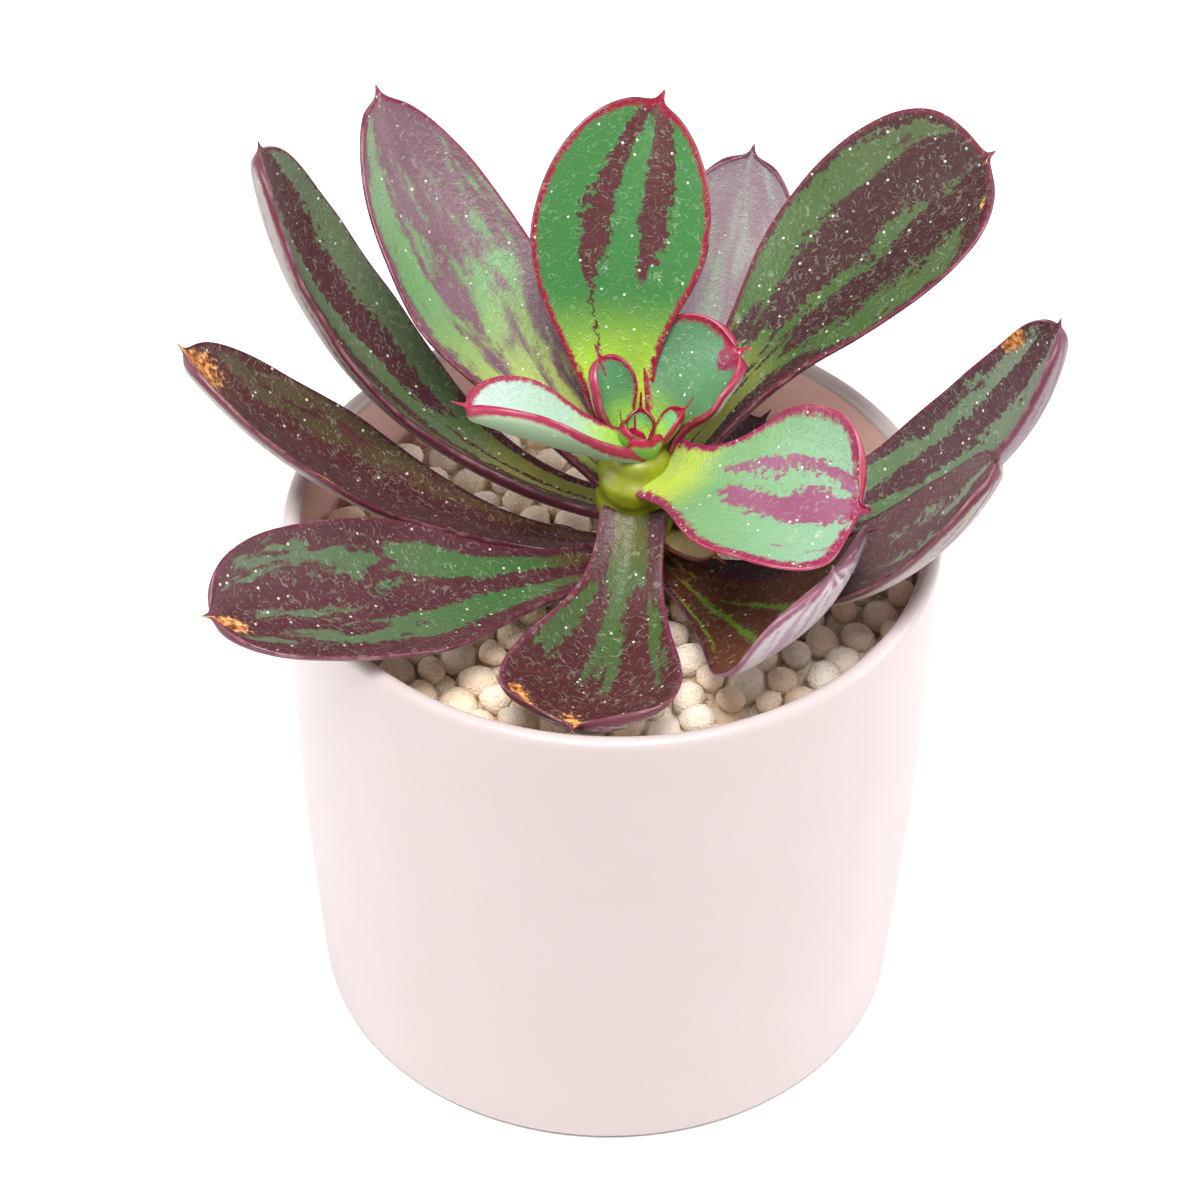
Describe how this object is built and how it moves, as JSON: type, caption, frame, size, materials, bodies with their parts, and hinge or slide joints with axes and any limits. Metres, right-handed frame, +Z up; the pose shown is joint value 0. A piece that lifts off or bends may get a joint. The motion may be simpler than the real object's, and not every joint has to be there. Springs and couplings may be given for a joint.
{
  "type": "potted succulent",
  "caption": "Rosette succulent with broad striped spoon-shaped leaves on a short stem, in a round bowed ceramic pot topped with pale gravel.",
  "frame": {"origin": "centre of the pot's flat underside, on the surface that it stands on", "axes": "+Z up; the front, which the viewer faces, is towards -Y; +X is to the viewer's right"},
  "size_m": [0.1475, 0.11, 0.16],
  "materials": {
    "pot": "satin",
    "soil": "matte",
    "gravel": "matte",
    "stem": "satin",
    "leaf": "satin",
    "young_leaf": "satin",
    "old_leaf": "satin"
  },
  "bodies": {
    "root": {"pot": "pot", "potting_soil": "soil", "gravel": "gravel", "stem": "stem", "leaf_back": "leaf", "leaf_back_left": "leaf", "leaf_left_upper": "leaf", "leaf_left_lower": "leaf", "leaf_front_left": "leaf", "leaf_front": "leaf", "leaf_front_right": "leaf", "leaf_right_pale": "young_leaf", "leaf_back_right": "leaf", "leaf_back_pale": "leaf", "leaf_right_upper": "leaf", "leaf_right_lower": "leaf", "leaf_inner_right": "young_leaf", "leaf_inner_back": "young_leaf", "leaf_inner_left": "young_leaf", "leaf_low_right": "old_leaf", "leaf_low_left": "old_leaf", "leaf_low_back": "old_leaf"}
  },
  "joints": []
}
